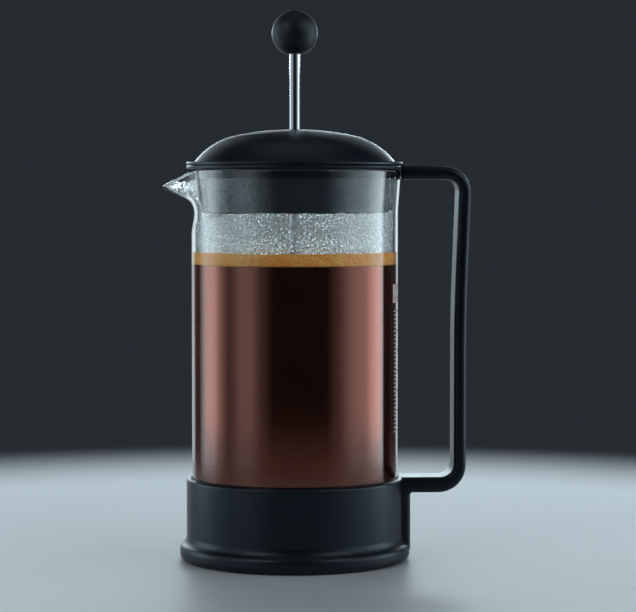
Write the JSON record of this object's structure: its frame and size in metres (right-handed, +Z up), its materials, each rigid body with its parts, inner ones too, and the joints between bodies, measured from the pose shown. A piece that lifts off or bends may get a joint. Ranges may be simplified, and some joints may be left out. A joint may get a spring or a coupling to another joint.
{
  "type": "french press",
  "caption": "Glass cafetiere in a moulded base with handle, domed lid and sliding filter plunger on a steel rod with a ball knob.",
  "frame": {"origin": "on the beaker's axis, in the plane that the foot ring stands on", "axes": "+Z up along the beaker and the plunger rod, +X towards the handle, -X towards the spout, -Y the front as drawn"},
  "size_m": [0.1493, 0.112, 0.2663],
  "materials": {
    "frame_plastic": "satin black",
    "lid_plastic": "satin black",
    "knob_plastic": "fine matte black",
    "beaker_glass": "clear borosilicate",
    "rod_steel": "polished stainless",
    "filter_steel": "bright stainless sheet",
    "mesh_steel": "stainless wire",
    "insert_brass": "turned"
  },
  "bodies": {
    "stand": {"base_handle_frame": "frame_plastic", "glass_beaker": "beaker_glass"},
    "lid": {"lid_dome": "lid_plastic", "lid_liner": "lid_plastic"},
    "filter_stack": {"filter_hub": "filter_steel", "cross_plate": "filter_steel", "mesh_filter": "mesh_steel", "spiral_plate": "filter_steel", "spiral_spring": "mesh_steel"},
    "rod": {"plunger_rod": "rod_steel", "stop_collar": "rod_steel"},
    "knob": {"ball_knob": "knob_plastic", "knob_insert": "insert_brass"}
  },
  "joints": [
    {"name": "lid_lift", "type": "slide", "parent": "stand", "child": "lid", "axis": [0, 0, 1], "range_m": [0, 0.18]},
    {"name": "plunger_slide", "type": "slide", "parent": "lid", "child": "filter_stack", "axis": [0, 0, 1], "range_m": [-0.033, 0.105]},
    {"name": "rod_turn", "type": "hinge", "parent": "filter_stack", "child": "rod", "pos_m": [0, 0, 0.0574], "axis": [0, 0, 1], "continuous": true},
    {"name": "knob_turn", "type": "hinge", "parent": "rod", "child": "knob", "pos_m": [0, 0, 0.25515], "axis": [0, 0, 1], "continuous": true}
  ]
}
